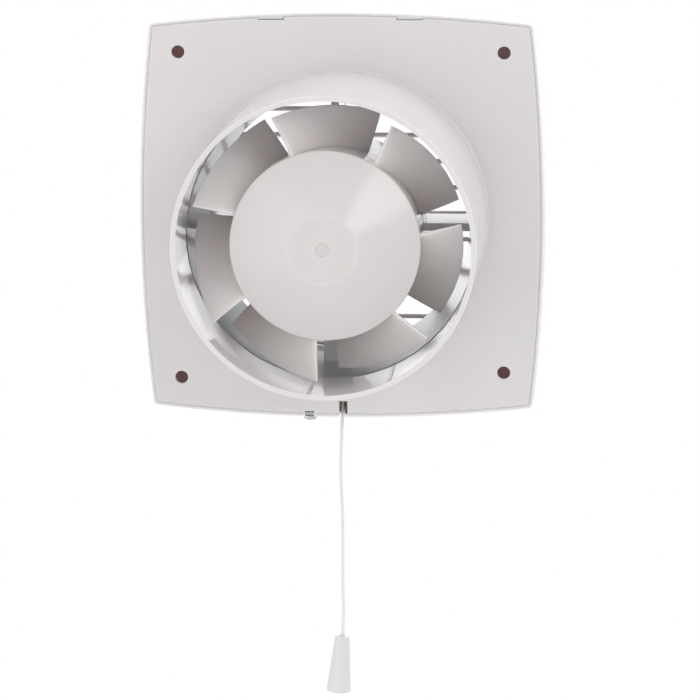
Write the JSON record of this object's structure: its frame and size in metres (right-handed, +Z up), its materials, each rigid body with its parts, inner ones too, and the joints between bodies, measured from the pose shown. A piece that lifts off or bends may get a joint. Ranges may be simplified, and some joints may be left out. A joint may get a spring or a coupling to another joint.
{
  "type": "bathroom extractor fan",
  "caption": "Square extractor fan with a round duct spigot, bladed impeller, louvred front cover and a pull cord switch.",
  "frame": {"origin": "on the duct's axis, in the plane of the wall that the back plate lies on", "axes": "+Y along the duct into the wall, -Y into the room, +Z up, +X to the right seen from the room"},
  "size_m": [0.2048, 0.1385, 0.3531],
  "materials": {
    "casing_plastic": "satin white ABS",
    "cover_plastic": "satin white ABS",
    "carrier_plastic": "satin white ABS",
    "impeller_plastic": "satin light grey ABS",
    "knob_plastic": "satin white",
    "cord_fibre": "braided white nylon",
    "zinc_steel": "zinc plated",
    "laminated_steel": "stacked laminations",
    "coil_copper": "enamelled copper",
    "cast_zinc": "die cast",
    "bearing_bronze": "sintered bronze",
    "terminal_brass": "bright",
    "nylon": "natural nylon",
    "blue_insulation": "PVC",
    "brown_insulation": "PVC"
  },
  "bodies": {
    "fan": {"casing": "casing_plastic", "cover_frame": "cover_plastic", "cover_louvre": "cover_plastic", "cover_screw": "zinc_steel", "motor_carrier": "carrier_plastic", "carrier_screw_1": "zinc_steel", "carrier_screw_2": "zinc_steel", "carrier_screw_3": "zinc_steel", "carrier_screw_4": "zinc_steel", "stator_yoke": "laminated_steel", "stator_bar": "laminated_steel", "coil_bobbin": "nylon", "coil_winding": "coil_copper", "front_bracket": "cast_zinc", "rear_bracket": "cast_zinc", "front_bearing": "bearing_bronze", "rear_bearing": "bearing_bronze", "motor_screw_1": "zinc_steel", "motor_screw_2": "zinc_steel", "motor_screw_3": "zinc_steel", "motor_screw_4": "zinc_steel", "switch_body": "nylon", "switch_spring": "zinc_steel", "switch_terminal_1": "terminal_brass", "switch_terminal_2": "terminal_brass", "switch_screw_1": "zinc_steel", "switch_screw_2": "zinc_steel", "terminal_block": "nylon", "terminal_screw_1": "terminal_brass", "terminal_screw_2": "terminal_brass", "terminal_screw_3": "terminal_brass", "cable_clamp": "nylon", "clamp_screw_1": "zinc_steel", "clamp_screw_2": "zinc_steel", "lead_coil_to_block": "blue_insulation", "lead_coil_to_switch": "brown_insulation", "lead_switch_to_block": "brown_insulation"},
    "impeller_set": {"impeller": "impeller_plastic", "impeller_clip": "zinc_steel", "motor_shaft": "zinc_steel", "rotor": "laminated_steel"},
    "pull_switch": {"switch_plunger": "nylon", "pull_cord": "cord_fibre", "cord_knob": "knob_plastic"}
  },
  "joints": [
    {"name": "impeller_spin", "type": "hinge", "parent": "fan", "child": "impeller_set", "pos_m": [0, 0.038, 0], "axis": [0, 1, 0], "continuous": true},
    {"name": "cord_pull", "type": "slide", "parent": "fan", "child": "pull_switch", "axis": [0, 0, -1], "range_m": [0, 0.005], "stiffness_N_per_m": 300, "springref_m": -0.003, "deforming": ["switch_spring"]}
  ]
}
